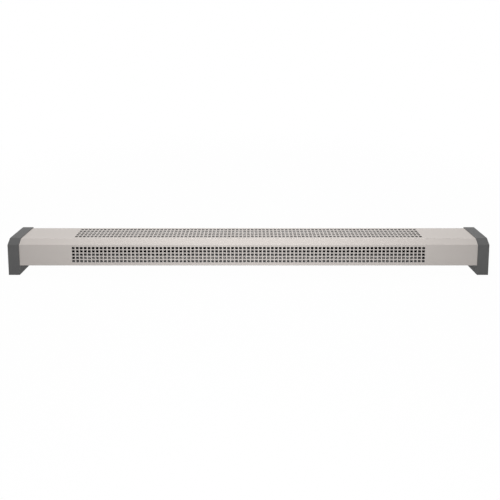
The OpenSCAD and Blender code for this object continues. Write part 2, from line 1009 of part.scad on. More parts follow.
casing();
left_end_cap();
right_end_cap();
chassis();
reflector();
left_end_plate();
right_end_plate();
left_bulkhead();
right_bulkhead();
left_cap_screws();
right_cap_screws();
casing_screws();
rear_screws();
end_plate_rivets();
bulkhead_rivets();
reflector_rivets();
element_sheath();
element_fins();
element_beads();
terminal_studs();
terminal_nuts();
left_element_bush();
right_element_bush();
element_supports();
support_rivets();
thermal_cutout();
cutout_clip();
clip_screws();
terminal_block();
clamp_screws();
block_screws();
earth_stud();
earth_nuts();
cable_gland();
gland_locknut();
left_lead_grommet();
right_lead_grommet();
live_lead();
element_lead();
neutral_lead();
earth_lead();
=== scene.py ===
# %% [markdown]
# This heater stands along the foot of a wall. A folded sheet of enamelled steel, punched with small
# windows, hides a finned element, and two dark plastic caps close its ends and carry it as feet.
# Its pieces already exist at their real size and place, so the scene first loads them as a fixed
# frame. Everything made later is measured from them.

# %% The frame
import json
import math

import bmesh
import bpy
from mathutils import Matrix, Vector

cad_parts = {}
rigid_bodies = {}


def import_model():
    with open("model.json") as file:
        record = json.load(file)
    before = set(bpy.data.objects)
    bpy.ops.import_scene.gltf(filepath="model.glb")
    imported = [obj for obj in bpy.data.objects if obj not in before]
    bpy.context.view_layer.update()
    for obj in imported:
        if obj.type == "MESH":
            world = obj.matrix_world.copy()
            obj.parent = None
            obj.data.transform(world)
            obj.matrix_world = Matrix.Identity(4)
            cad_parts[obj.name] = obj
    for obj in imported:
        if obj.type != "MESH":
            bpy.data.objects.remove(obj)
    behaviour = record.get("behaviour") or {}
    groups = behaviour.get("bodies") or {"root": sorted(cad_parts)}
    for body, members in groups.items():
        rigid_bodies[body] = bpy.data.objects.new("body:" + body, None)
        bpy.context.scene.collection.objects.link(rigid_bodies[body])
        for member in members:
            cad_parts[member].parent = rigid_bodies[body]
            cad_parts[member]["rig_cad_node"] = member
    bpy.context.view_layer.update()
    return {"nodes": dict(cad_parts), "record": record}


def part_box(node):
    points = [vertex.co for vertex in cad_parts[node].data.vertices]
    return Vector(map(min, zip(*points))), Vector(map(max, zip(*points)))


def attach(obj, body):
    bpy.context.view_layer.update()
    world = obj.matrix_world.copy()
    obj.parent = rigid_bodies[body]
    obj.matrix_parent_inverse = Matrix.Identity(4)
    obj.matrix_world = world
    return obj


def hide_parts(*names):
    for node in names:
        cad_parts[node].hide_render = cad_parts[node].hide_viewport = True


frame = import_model()

# %% [markdown]
# A product picture like this one is taken from a little above, with the camera held nearly level and
# the lens shifted down to the object, so that upright edges stay almost parallel. The distance and
# height below give the same fan of the columns and the same width of the top as the picture has.

# %% Camera
picture_px = 500
focal_px = 421
middle_px = 248.45
horizon_shift = 0.35
pitch_down = math.radians(4.65)
camera_back = 1.220
camera_up = 0.706

front_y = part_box("left_end_cap")[0].y
bpy.ops.object.select_all(action="DESELECT")
bpy.ops.object.camera_add(
    location=(0, front_y - camera_back, camera_up),
    rotation=(math.radians(90) - pitch_down, 0, 0),
)
camera = bpy.context.object
camera.name = "picture_camera"
camera.data.lens = camera.data.sensor_width * focal_px / picture_px
camera.data.shift_x = 0.5 - middle_px / picture_px
camera.data.shift_y = -horizon_shift
camera.data.clip_end = 100
bpy.context.scene.camera = camera
bpy.context.scene.view_settings.view_transform = "Standard"
print("lens", round(camera.data.lens, 2), "mm at", [round(c, 3) for c in camera.location])

# %% [markdown]
# The picture has a pure white surround. The world is white where the camera, a reflection or a view
# through glass meets it, and gives the rest of the scene a plain, even light. The floor is paper that
# is mostly drawn as white as the world, and for a small share as lit paper that takes the heater's
# shadow. Under the heater's back, where the intake slots look onto it, it is only lit, and its paper is
# painted darker there as a painted shadow.

# %% World
sky_light = 0.2


def link(tree, out, into):
    """Joins an output to an input, either of them a socket or the first socket of a node."""
    start = out if isinstance(out, bpy.types.NodeSocket) else out.outputs[0]
    end = into if isinstance(into, bpy.types.NodeSocket) else into.inputs[0]
    tree.links.new(start, end)


def maths(tree, operation, *values):
    """A math node whose inputs are numbers or sockets, given back as its output."""
    node = tree.nodes.new("ShaderNodeMath")
    node.operation = operation
    for i, value in enumerate(values):
        if isinstance(value, (int, float)):
            node.inputs[i].default_value = value
        else:
            link(tree, value, node.inputs[i])
    return node.outputs[0]


def seen_directly(tree):
    """A value that is 1 for camera, glossy and transmission rays and 0 for the light itself."""
    path = tree.nodes.new("ShaderNodeLightPath")
    glossy = maths(tree, "MAXIMUM", path.outputs["Is Camera Ray"], path.outputs["Is Glossy Ray"])
    return maths(tree, "MAXIMUM", glossy, path.outputs["Is Transmission Ray"])


world = bpy.data.worlds.new("studio_surround")
bpy.context.scene.world = world
world.use_nodes = True
tree = world.node_tree
surround = tree.nodes["Background"]
surround.inputs["Color"].default_value = (1, 1, 1, 1)
strength = maths(tree, "MULTIPLY_ADD", seen_directly(tree), 1 - sky_light, sky_light)
link(tree, strength, surround.inputs["Strength"])
print("world light", sky_light)

# %% Floor
floor_size = 60
bpy.ops.object.select_all(action="DESELECT")
bpy.ops.mesh.primitive_plane_add(size=floor_size)
floor = bpy.context.object
floor.name = "studio_floor"
print("floor", floor_size, "m square")

# %% Floor paper
floor_white = 0.55
shadow_tone = 0.25
glow_share = 0.985
band_front, band_back, band_end = (0.02, 0.05), (0.105, 0.065), (0.72, 0.69)
far_floor = (0.9, 2.2)


def step(tree, value, start, end):
    """A soft step of a value, from 0 at the start to 1 at the end."""
    ramp = tree.nodes.new("ShaderNodeMapRange")
    ramp.interpolation_type = "SMOOTHSTEP"
    ramp.inputs["From Min"].default_value = start
    ramp.inputs["From Max"].default_value = end
    link(tree, value, ramp)
    return ramp.outputs["Result"]


paper = bpy.data.materials.new("floor_paper")
paper.use_nodes = True
tree = paper.node_tree
tree.nodes.clear()
matt = tree.nodes.new("ShaderNodeBsdfDiffuse")
glow = tree.nodes.new("ShaderNodeEmission")
place = tree.nodes.new("ShaderNodeTexCoord")
axes = tree.nodes.new("ShaderNodeSeparateXYZ")
link(tree, place.outputs["Object"], axes)
across = maths(tree, "ABSOLUTE", axes.outputs["X"])
behind = maths(tree, "MULTIPLY", step(tree, axes.outputs["Y"], *band_front),
               step(tree, axes.outputs["Y"], *band_back))
hidden = maths(tree, "MULTIPLY", behind, step(tree, across, *band_end))
# Under the heater's back the paper's colour falls to the shadow tone: a painted shadow.
tone = tree.nodes.new("ShaderNodeCombineColor")
for channel in tone.inputs:
    link(tree, maths(tree, "MULTIPLY_ADD", hidden, shadow_tone - floor_white, floor_white), channel)
link(tree, tone, matt.inputs["Color"])
distance = tree.nodes.new("ShaderNodeVectorMath")
distance.operation = "LENGTH"
link(tree, place.outputs["Object"], distance)
far = step(tree, distance.outputs["Value"], *far_floor)
share = maths(tree, "MULTIPLY_ADD", far, 1 - glow_share, glow_share)
share = maths(tree, "MULTIPLY", share, maths(tree, "SUBTRACT", 1.0, hidden))
both = tree.nodes.new("ShaderNodeMixShader")
link(tree, maths(tree, "MULTIPLY", share, seen_directly(tree)), both)
link(tree, matt, both.inputs[1])
link(tree, glow, both.inputs[2])
floor_out = tree.nodes.new("ShaderNodeOutputMaterial")
link(tree, both, floor_out)
floor.data.materials.append(paper)
print("paper", floor_white, "white,", shadow_tone, "under the heater's back")

# %% [markdown]
# Soft boxes do the rest. Two hang side by side overhead and lift the top. A smaller one stands low,
# between the camera and the heater, and lights the front most strongly at mid-length, where the
# picture's enamel is brightest. The camera doesn't see the lamps themselves.

# %% Lamps
def soft_box(name, place, aim, size, power):
    """A rectangular lamp at a place, turned towards a point."""
    bpy.ops.object.select_all(action="DESELECT")
    bpy.ops.object.light_add(type="AREA", location=place)
    lamp = bpy.context.object
    lamp.name = name
    lamp.data.shape = "RECTANGLE"
    lamp.data.size, lamp.data.size_y = size
    lamp.data.energy = power
    lamp.rotation_mode = "QUATERNION"
    lamp.rotation_quaternion = (Vector(aim) - Vector(place)).to_track_quat("-Z", "Y")
    lamp.visible_camera = False
    print(name, "of", power, "W")


overhead_watts, front_watts = 19, 7.6
soft_box("left_overhead_box", (-0.6, 0.55, 2.2), (-0.6, 0, 0), (1.2, 1.2), overhead_watts)
soft_box("right_overhead_box", (0.6, 0.55, 2.2), (0.6, 0, 0), (1.2, 1.2), overhead_watts)
soft_box("front_box", (0, -0.95, 0.5), (0, 0, 0.05), (0.8, 0.4), front_watts)

# %% [markdown]
# Every finish starts from the same plain shader. What makes each one look real is small and uneven:
# a slow drift of tone over the piece, and a fine relief that breaks up the highlights. Both come
# from noise in the object's own coordinates, so the pattern has a real size and stays on the piece.

# %% Finish helpers
def finish(name, colour, roughness, metal=0.0, gloss=0.5):
    """A new material with these constants on its shader, given back with its tree and shader."""
    made = bpy.data.materials.new(name)
    made.use_nodes = True
    shader = made.node_tree.nodes["Principled BSDF"]
    shader.inputs["Base Color"].default_value = (*colour, 1)
    shader.inputs["Roughness"].default_value = roughness
    shader.inputs["Metallic"].default_value = metal
    shader.inputs["Specular IOR Level"].default_value = gloss
    return made, made.node_tree, shader


def speckle(tree, size, detail=2.0, stretch=(1, 1, 1)):
    """Noise whose lumps are about this size in metres, given back as a value from 0 to 1."""
    place = tree.nodes.new("ShaderNodeTexCoord")
    mapping = tree.nodes.new("ShaderNodeMapping")
    mapping.inputs["Scale"].default_value = [1 / s for s in stretch]
    noise = tree.nodes.new("ShaderNodeTexNoise")
    noise.inputs["Scale"].default_value = 1 / size
    noise.inputs["Detail"].default_value = detail
    link(tree, place.outputs["Object"], mapping)
    link(tree, mapping, noise)
    return noise.outputs["Fac"]


def drift(tree, shader, value, dark, light):
    """Lets the colour drift between two tones as a value goes from 0.3 to 0.7."""
    ramp = tree.nodes.new("ShaderNodeValToRGB")
    ramp.color_ramp.elements[0].position = 0.3
    ramp.color_ramp.elements[1].position = 0.7
    ramp.color_ramp.elements[0].color = (*dark, 1)
    ramp.color_ramp.elements[1].color = (*light, 1)
    link(tree, value, ramp)
    link(tree, ramp, shader.inputs["Base Color"])


def gloss_drift(tree, shader, value, low, high):
    """Lets the roughness drift between two levels."""
    level = tree.nodes.new("ShaderNodeMapRange")
    level.inputs["To Min"].default_value = low
    level.inputs["To Max"].default_value = high
    link(tree, value, level)
    link(tree, level, shader.inputs["Roughness"])


def relief(tree, shader, value, height, strength=1.0):
    """Raises the surface by a value times a height in metres."""
    bump = tree.nodes.new("ShaderNodeBump")
    bump.inputs["Strength"].default_value = strength
    bump.inputs["Distance"].default_value = height
    link(tree, value, bump.inputs["Height"])
    link(tree, bump, shader.inputs["Normal"])


def shade(colour, share):
    """A colour made darker or lighter."""
    return tuple(c * share for c in colour)


recorded = {m["slot"]: tuple(m["base_color"]) for m in frame["record"]["materials"]}
print(len(recorded), "material slots in the record")

# %% [markdown]
# The casing is enamelled in a warm light grey and stoved. Up close such a coat isn't flat: it has a
# faint orange-peel relief, about a millimetre across, and its sheen varies a little along the sheet.
# The walls of its windows are marked on the casing's mesh, and the enamel gives way to a darker tone
# there, a painted shade for the inside of the windows. The recorded colour is made a touch warmer, as
# the picture has it.

# %% Stoved enamel
warmth = (1.0, 0.978, 0.977)
enamel = tuple(c * w for c, w in zip(recorded["casing_paint"], warmth))


def overlaid(tree, shader, value, colour):
    """Lets the colour give way to another one as a value goes from 0 to 1."""
    coat = shader.inputs["Base Color"].links[0].from_socket
    blend = tree.nodes.new("ShaderNodeMix")
    blend.data_type = "RGBA"
    blend.inputs["B"].default_value = (*colour, 1)
    link(tree, value, blend.inputs["Factor"])
    link(tree, coat, blend.inputs["A"])
    link(tree, blend.outputs["Result"], shader.inputs["Base Color"])


def stoved_enamel(colour):
    """Satin grey enamel with orange peel, a slight drift of tone and painted shade on the window walls."""
    made, tree, shader = finish("stoved_enamel", colour, 0.5)
    drift(tree, shader, speckle(tree, 0.09, stretch=(3, 1, 1)), shade(colour, 0.985), shade(colour, 1.015))
    edge = tree.nodes.new("ShaderNodeAttribute")
    edge.attribute_name = "window_wall_shade"
    # The marked window walls take a dark tone: painted shade inside the windows.
    overlaid(tree, shader, edge.outputs["Fac"], (0.18, 0.175, 0.17))
    gloss_drift(tree, shader, speckle(tree, 0.02), 0.46, 0.58)
    relief(tree, shader, speckle(tree, 0.0012), 0.00004, 0.25)
    return made


finishes = {"casing_paint": stoved_enamel(enamel)}
print("enamel drifts about", [round(c, 3) for c in enamel])

# %% [markdown]
# The caps are moulded in a dark grey plastic. The mould is spark-eroded, which leaves a fine grain
# that scatters the light, so the plastic reads as matt from afar and sparkles slightly up close.

# %% Moulded plastic
def moulded_plastic(name, colour, grain=0.0004):
    """Matt plastic with the fine grain of an eroded mould."""
    made, tree, shader = finish(name, colour, 0.55, gloss=0.35)
    drift(tree, shader, speckle(tree, 0.03), shade(colour, 0.96), shade(colour, 1.04))
    gloss_drift(tree, shader, speckle(tree, 0.004), 0.5, 0.62)
    relief(tree, shader, speckle(tree, grain, 3.0), 0.00005, 0.6)
    return made


finishes["cap_plastic"] = moulded_plastic("cap_plastic_grain", (0.115, 0.115, 0.115))
finishes["black_plastic"] = moulded_plastic("black_nylon", recorded["black_plastic"])
finishes["grommet_rubber"] = moulded_plastic("grommet_rubber_matt", recorded["grommet_rubber"], 0.0008)
print(len(finishes), "finishes so far")

# %% [markdown]
# Galvanised sheet shows spangle, a patchwork of zinc crystals a few millimetres wide that each catch
# the light a little differently. Cells of a Voronoi pattern stand for the crystals. Rolled and turned
# metal shows fine lines instead, which are noise stretched along one axis.

# %% Bare metals
def galvanised_sheet(name, colour):
    """Zinc-coated steel with spangle."""
    made, tree, shader = finish(name, colour, 0.6, 0.15, 0.3)
    place = tree.nodes.new("ShaderNodeTexCoord")
    crystals = tree.nodes.new("ShaderNodeTexVoronoi")
    crystals.inputs["Scale"].default_value = 1 / 0.005
    link(tree, place.outputs["Object"], crystals)
    cell = tree.nodes.new("ShaderNodeSeparateColor")
    link(tree, crystals.outputs["Color"], cell)
    drift(tree, shader, cell.outputs[0], shade(colour, 0.95), shade(colour, 1.12))
    gloss_drift(tree, shader, cell.outputs[1], 0.52, 0.7)
    relief(tree, shader, crystals.outputs["Distance"], 0.00002, 0.4)
    return made, tree, shader


def rolled_metal(name, colour, roughness, along=(30, 1, 1), metal=1.0):
    """Metal with the fine lines that rolling or turning leaves along one axis."""
    made, tree, shader = finish(name, colour, roughness, metal)
    lines = speckle(tree, 0.0006, 3.0, along)
    drift(tree, shader, lines, shade(colour, 0.9), shade(colour, 1.05))
    gloss_drift(tree, shader, lines, roughness - 0.06, roughness + 0.08)
    relief(tree, shader, lines, 0.00001, 0.4)
    return made, tree, shader


zinc, bright = recorded["galvanised_steel"], recorded["bright_aluminium"]
finishes["galvanised_steel"] = galvanised_sheet("galvanised_sheet", zinc)[0]
finishes["bright_aluminium"] = rolled_metal("mill_aluminium", bright, 0.4)[0]
finishes["plated_steel"] = rolled_metal("zinc_plate", recorded["plated_steel"], 0.32, (1, 1, 1))[0]
finishes["terminal_brass"] = rolled_metal("turned_brass", recorded["terminal_brass"], 0.3, (1, 1, 1))[0]
print(len(finishes), "finishes so far")

# %% [markdown]
# Inside, a heater that has run for a while isn't as it left the shop: steel burns black on the element.
# The rest here is painted light and shade: the bulkheads are painted nearly black as painted shade, the
# chassis is painted darker with a pale strip on its base as a painted pool of light, and the reflector is
# painted darker along its foot and at its ends as painted shade. The used finishes are painted over the
# plain ones by the object's own coordinates, each zone with a soft edge given as a start and an end.

# %% Used metals, painted light and painted shade
lit_strip_middle_y = -0.004
lit_strip_edge = (0.015, 0.01)
painted_shade_foot = (0.05, 0.075)
painted_shade_ends = (0.526, 0.516)


def coordinate(tree, axis):
    """The object's own coordinate along an axis."""
    place = tree.nodes.new("ShaderNodeTexCoord")
    axes = tree.nodes.new("ShaderNodeSeparateXYZ")
    link(tree, place.outputs["Object"], axes)
    return axes.outputs[axis]


def toned(tree, shader, value, low):
    """Scales the colour by a level that goes from low to 1 as a value goes from 0 to 1."""
    coat = shader.inputs["Base Color"].links[0].from_socket
    scaled = tree.nodes.new("ShaderNodeVectorMath")
    scaled.operation = "SCALE"
    link(tree, coat, scaled.inputs[0])
    link(tree, maths(tree, "MULTIPLY_ADD", value, 1 - low, low), scaled.inputs["Scale"])
    link(tree, scaled, shader.inputs["Base Color"])


def between_ends(tree):
    """A value that is 1 along the piece and falls to 0 just short of the bulkheads."""
    return step(tree, maths(tree, "ABSOLUTE", coordinate(tree, "X")), *painted_shade_ends)


def painted_lit_strip_sheet():
    """Galvanised sheet painted darker as painted shade, with a pale strip along the base as a painted pool
    of light.
    """
    made, tree, shader = galvanised_sheet("painted_lit_strip_sheet", shade(zinc, 0.65))
    off_strip = maths(tree, "ABSOLUTE", maths(tree, "SUBTRACT", coordinate(tree, "Y"), lit_strip_middle_y))
    # The pale strip is a painted pool of light, where light through the windows falls on the base.
    strip = maths(tree, "MULTIPLY", step(tree, off_strip, *lit_strip_edge), between_ends(tree))
    overlaid(tree, shader, strip, (0.97, 0.935, 0.885))
    return made


def reflector_sheet():
    """Bright aluminium sheet painted darker along its foot and at its ends, as painted shade."""
    made, tree, shader = rolled_metal("reflector_aluminium", shade(bright, 1.05), 0.5, metal=0.2)
    upper = step(tree, coordinate(tree, "Z"), *painted_shade_foot)
    # The foot and the ends are painted darker: painted shade where the element and the bulkheads shade the
    # sheet.
    toned(tree, shader, maths(tree, "MULTIPLY", upper, between_ends(tree)), 0.2)
    return made


def blackened_steel():
    """Steel whose surface is burnt dull black."""
    colour = recorded["dark_element"]
    made, tree, shader = finish("blackened_steel", colour, 0.8, gloss=0.15)
    drift(tree, shader, speckle(tree, 0.012), shade(colour, 0.2), shade(colour, 0.5))
    gloss_drift(tree, shader, speckle(tree, 0.003), 0.7, 0.9)
    relief(tree, shader, speckle(tree, 0.0008, 3.0), 0.00003, 0.5)
    return made


finishes["dark_element"] = blackened_steel()
# The bulkheads' zinc is painted nearly black: painted shade at the ends of the casing.
painted_shade_zinc = galvanised_sheet("heat_dulled_sheet", shade(zinc, 0.06))[0]
print("used finishes:", finishes["dark_element"].name, "and", painted_shade_zinc.name)

# %% [markdown]
# The wiring's parts are small, so plain finishes do: chalky steatite for what stands the heat, and
# silicone rubber for the leads, in the colours that tell them apart.

# %% Small parts' finishes
def ceramic():
    """Unglazed steatite, chalky and faintly speckled."""
    colour = recorded["white_ceramic"]
    made, tree, shader = finish("steatite", colour, 0.6)
    drift(tree, shader, speckle(tree, 0.0015, 4.0), shade(colour, 0.93), shade(colour, 1.03))
    relief(tree, shader, speckle(tree, 0.0007, 3.0), 0.00003, 0.5)
    return made


def silicone(name, colour):
    """The sleeve of a lead, smooth and a little dusty."""
    made, tree, shader = finish(name, colour, 0.5)
    drift(tree, shader, speckle(tree, 0.004), shade(colour, 0.9), shade(colour, 1.08))
    gloss_drift(tree, shader, speckle(tree, 0.002), 0.42, 0.58)
    return made


finishes["white_ceramic"] = ceramic()
for slot in ("brown_lead", "white_lead", "blue_lead", "green_lead"):
    finishes[slot] = silicone(slot + "_sleeve", recorded[slot])
print(len(finishes), "finishes in all")

# %% Finishes on the frame
slot_of = {part["node"]: part["material_slot"] for part in frame["record"]["subparts"]}
for name, slot in slot_of.items():
    node = frame["nodes"][name]
    node.data.materials.clear()
    node.data.materials.append(finishes[slot])
print(len(finishes), "finishes on", len(frame["nodes"]), "pieces of the frame")

# %% [markdown]
# New pieces are modelled as by hand. Each one starts from a primitive, is shaped in edit mode, and
# ends with its own place baked into its mesh. These helpers do what the mouse would: they select one
# object, select edges or faces by their place, and apply a modifier.

# %% Modelling helpers
mm = 0.001
slack = 0.01 * mm


def only(piece):
    """Selects one object and makes it the active one."""
    bpy.ops.object.select_all(action="DESELECT")
    piece.select_set(True)
    bpy.context.view_layer.objects.active = piece


def added(name):
    """The primitive just added, with its place and size baked into its mesh."""
    piece = bpy.context.object
    piece.name = name
    only(piece)
    bpy.ops.object.transform_apply(location=True, rotation=True, scale=True)
    return piece


def pick(kind, wanted):
    """In edit mode, selects the edges or faces whose middle and normal pass a test."""
    bpy.ops.mesh.select_mode(type=kind)
    bpy.ops.mesh.select_all(action="DESELECT")
    mesh = bmesh.from_edit_mesh(bpy.context.edit_object.data)
    for part in mesh.edges if kind == "EDGE" else mesh.faces:
        ends = [v.co for v in part.verts]
        middle = sum(ends, Vector()) / len(ends)
        along = part.normal if kind == "FACE" else (ends[1] - ends[0]).normalized()
        part.select_set(bool(wanted(middle, along)))
    bmesh.update_edit_mesh(bpy.context.edit_object.data)


def near(a, b):
    """Whether two lengths are the same but for rounding."""
    return abs(a - b) < slack


def modified(piece, kind, **settings):
    """Adds a modifier with these settings and applies it."""
    only(piece)
    modifier = piece.modifiers.new(kind.lower(), kind)
    for key, value in settings.items():
        setattr(modifier, key, value)
    bpy.ops.object.modifier_apply(modifier=modifier.name)


# %% [markdown]
# The casing is one sheet of steel, folded along its length and punched. One pitch of it is drawn out
# strip by strip along the folded section and repeated as an array. The window faces are then deleted
# from the skin in one go, as a press punches them, and Solidify gives the metal its millimetre.

# %% The casing's section
sheet = 1 * mm
fold_r = 2 * mm
fold_steps = 5
slope_size = 15 * mm
return_w = 14 * mm
back_flange = 12 * mm
hole_w, front_hole_h, top_hole_d = 8.5 * mm, 7.2 * mm, 7.5 * mm
column_pitch, front_pitch, top_pitch = 12 * mm, 10.2 * mm, 12 * mm
columns, rows = 89, 5
first_row_drop = 10 * mm

low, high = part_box("casing")
cap_low, cap_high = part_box("right_end_cap")
set_in = cap_high.z - high.z
half_slope = math.radians(45 / 2)
mitre = set_in * math.tan(half_slope)
slope_z = cap_high.z - slope_size - mitre
slope_y = cap_low.y + slope_size + mitre


def rounded(path, radius, steps):
    """A path of (y, z) points with its inner corners rounded."""
    points = [path[0]]
    for a, b, c in zip(path, path[1:], path[2:]):
        a, b, c = Vector((*a, 0)), Vector((*b, 0)), Vector((*c, 0))
        u, v = (a - b).normalized(), (c - b).normalized()
        half = u.angle(v) / 2
        middle = b + (u + v).normalized() * radius / math.sin(half)
        first = b + u * radius / math.tan(half) - middle
        last = b + v * radius / math.tan(half) - middle
        turn = math.pi - 2 * half
        for k in range(steps + 1):
            t = k / steps
            arm = (first * math.sin((1 - t) * turn) + last * math.sin(t * turn)) / math.sin(turn)
            points.append((middle + arm).to_tuple()[:2])
    return points + [path[-1]]


section = rounded([
    (high.y, high.z - back_flange), (high.y, high.z), (slope_y, high.z),
    (low.y, slope_z), (low.y, low.z), (low.y + return_w, low.z),
], fold_r, fold_steps)
top_rows = [(slope_y + high.y) / 2 + (i - (rows - 1) / 2) * top_pitch for i in range(rows)]
front_rows = [slope_z - first_row_drop - i * front_pitch for i in range(rows)]
window_edges = [(y + s * top_hole_d / 2, high.z) for y in top_rows for s in (-1, 1)]
window_edges += [(low.y, z + s * front_hole_h / 2) for z in front_rows for s in (-1, 1)]
after_top_fold = 1 + 1 * (fold_steps + 1)
after_slope = 1 + 3 * (fold_steps + 1)
section[after_slope:after_slope] = sorted(window_edges[2 * rows:], key=lambda p: -p[1])
section[after_top_fold:after_top_fold] = sorted(window_edges[:2 * rows], key=lambda p: -p[0])
print("section of", len(section), "points from", section[0], "to", section[-1])

# %% One pitch of the casing, repeated
first_x = -(columns - 1) / 2 * column_pitch
(y0, z0), (_, z1) = section[0], section[1]
bpy.ops.object.select_all(action="DESELECT")
bpy.ops.mesh.primitive_plane_add(
    size=1, location=(first_x + (column_pitch - hole_w) / 2, y0, (z0 + z1) / 2),
    rotation=(math.radians(90), 0, 0),
)
bpy.context.object.scale = (column_pitch, z1 - z0, 1)
casing = added("casing_sheet")
bpy.ops.object.mode_set(mode="EDIT")
bpy.ops.mesh.select_all(action="SELECT")
bpy.ops.mesh.bisect(plane_co=(first_x + hole_w / 2, 0, 0), plane_no=(1, 0, 0))
pick("EDGE", lambda middle, along: near(middle.z, z1))
for (ya, za), (yb, zb) in zip(section[1:], section[2:]):
    bpy.ops.mesh.extrude_region_move(TRANSFORM_OT_translate={"value": (0, yb - ya, zb - za)})
bpy.ops.object.mode_set(mode="OBJECT")
modified(casing, "ARRAY", count=columns, use_relative_offset=False, use_constant_offset=True,
         constant_offset_displace=(column_pitch, 0, 0), use_merge_vertices=True,
         merge_threshold=slack)
print(len(casing.data.polygons), "faces of folded skin")

# %% Plain ends, windows and thickness of the casing
bpy.ops.object.mode_set(mode="EDIT")
field = [first_x - hole_w / 2, first_x + columns * column_pitch - hole_w / 2]
for edge_x, end_x in zip(field, (low.x, high.x)):
    pick("EDGE", lambda middle, along: near(middle.x, edge_x) and abs(along.x) < 0.5)
    bpy.ops.mesh.extrude_region_move(TRANSFORM_OT_translate={"value": (end_x - edge_x, 0, 0)})


def in_window(middle, along):
    """Whether a face of the skin lies where the press punches."""
    column = (middle.x - first_x) / column_pitch
    row = (near(middle.z, high.z) and any(near(middle.y, y) for y in top_rows)
           or near(middle.y, low.y) and any(near(middle.z, z) for z in front_rows))
    return row and abs(column - round(column)) < 0.01 and -0.5 < column < columns - 0.5


pick("FACE", in_window)
bpy.ops.mesh.delete(type="FACE")
bpy.ops.mesh.select_all(action="SELECT")
bpy.ops.mesh.remove_doubles(threshold=slack)
bpy.ops.mesh.normals_make_consistent(inside=False)
bpy.ops.object.mode_set(mode="OBJECT")
modified(casing, "SOLIDIFY", thickness=sheet, offset=-1, use_even_offset=True)
print("casing spans", [round(c, 4) for c in casing.dimensions])

# %% [markdown]
# A sheet isn't finished when it is punched. Its edges are broken a little, which gives them a thin
# highlight, and its large faces have to shade as flat ones beside the narrow bevels. These helpers do
# that for the casing and for most later pieces, and the last one hands a piece over to the frame.

# %% Finishing a piece
weld = 0.002 * mm


def shaded(piece, curve=35):
    """Shades bends of up to this angle smooth while large faces stay flat."""
    only(piece)
    bpy.ops.object.shade_smooth_by_angle(angle=math.radians(curve))
    modified(piece, "WEIGHTED_NORMAL", keep_sharp=True)


def softened(piece, width, segments=1, angle=40):
    """Breaks every sharp edge by a width, merges points that the bevel stacks, and shades the piece."""
    modified(piece, "BEVEL", width=width, segments=segments, limit_method="ANGLE",
             angle_limit=math.radians(angle))
    bpy.ops.object.mode_set(mode="EDIT")
    bpy.ops.mesh.select_all(action="SELECT")
    bpy.ops.mesh.remove_doubles(threshold=weld)
    bpy.ops.object.mode_set(mode="OBJECT")
    shaded(piece)


def hand_over(piece, slot, *nodes):
    """Gives a piece its finish, hides the nodes that it stands in for, and makes it ride on the frame."""
    piece.data.materials.clear()
    piece.data.materials.append(finishes[slot])
    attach(piece, "root")
    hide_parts(*nodes)
    triangles = sum(len(p.vertices) - 2 for p in piece.data.polygons)
    print(piece.name, "stands for", ", ".join(nodes), "with", triangles, "triangles")


print("points closer than", weld / mm, "mm count as one")

# %% [markdown]
# Screws hold the casing under its front and at its back. Their holes are drilled as a drill would do
# it, by taking round bars out of the sheet. The frame's screws tell where.

# %% Drilling
def bar(name, start, end, radius, sides=32):
    """A round bar between two points, as a start or a cutter."""
    start, end = Vector(start), Vector(end)
    bpy.ops.object.select_all(action="DESELECT")
    turn = (end - start).to_track_quat("Z", "Y").to_euler()
    bpy.ops.mesh.primitive_cylinder_add(
        vertices=sides, radius=radius, depth=(end - start).length,
        location=(start + end) / 2, rotation=turn,
    )
    return added(name)


def joined(name, pieces):
    """Several objects made one."""
    only(pieces[0])
    for piece in pieces[1:]:
        piece.select_set(True)
    if len(pieces) > 1:
        bpy.ops.object.join()
    pieces[0].name = name
    return pieces[0]


def carve(piece, cutters, operation="DIFFERENCE"):
    """Cuts away or adds the shape of other objects, which are then removed."""
    cutter = joined("cutter", cutters)
    modified(piece, "BOOLEAN", operation=operation, solver="EXACT", object=cutter)
    bpy.data.objects.remove(cutter)


# %% Screw holes and edges of the casing
head_r, head_h, shank_r, play = 3.6 * mm, 1.9 * mm, 2 * mm, 0.1 * mm
casing_edge = 0.05 * mm


def places(node, count, inset):
    """Evenly spaced x places between the ends of a node's box."""
    start, end = (corner.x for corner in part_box(node))
    return [start + inset + (end - start - 2 * inset) * i / (count - 1) for i in range(count)]


def middle_of(node):
    """The middle of a node's box."""
    start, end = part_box(node)
    return (start + end) / 2


under_xs, rear_xs = places("casing_screws", 6, head_r), places("rear_screws", 5, head_r)
under_y, rear_z = middle_of("casing_screws").y, middle_of("rear_screws").z
drills = [bar("drill", (x, under_y, low.z - sheet), (x, under_y, low.z + 2 * sheet), shank_r + play)
          for x in under_xs]
drills += [bar("drill", (x, high.y - 2 * sheet, rear_z), (x, high.y + sheet, rear_z), shank_r + play)
           for x in rear_xs]
carve(casing, drills)
softened(casing, casing_edge)
# Marks the walls of the windows, where the enamel takes its painted shade.
window_wall_shade = casing.data.attributes.new("window_wall_shade", "FLOAT", "FACE")
for face in casing.data.polygons:
    on_front = face.center.y < low.y + sheet and abs(face.normal.y) < 0.1
    on_top = face.center.z > high.z - sheet and abs(face.normal.z) < 0.1
    inside = abs(face.center.x) < field[1] and low.z + fold_r < face.center.z
    window_wall_shade.data[face.index].value = float(inside and (on_front or on_top))
print(sum(d.value > 0 for d in window_wall_shade.data), "sheared faces")
hand_over(casing, "casing_paint", "casing")

# %% [markdown]
# Each end cap is one injection moulding that closes the casing and stands as its leg. It starts as a
# block with the heater's section. A smaller block of the same section takes out the mouth that the
# casing slides into, three boxes hollow the leg and leave its ribs, and two bosses take the screws.

# %% Blocks with the heater's section
cap_wall = 2 * mm
leg_top = low.z - cap_wall
rooms, rib = 3, 2 * mm
boss_r = 5.5 * mm
boss_places = [(-20 * mm, 50 * mm), (20 * mm, 86 * mm)]


def box_piece(name, low, high):
    """A block between two corners, as a start."""
    low, high = Vector(low), Vector(high)
    bpy.ops.object.select_all(action="DESELECT")
    bpy.ops.mesh.primitive_cube_add(size=1, location=(low + high) / 2)
    bpy.context.object.scale = high - low
    return added(name)


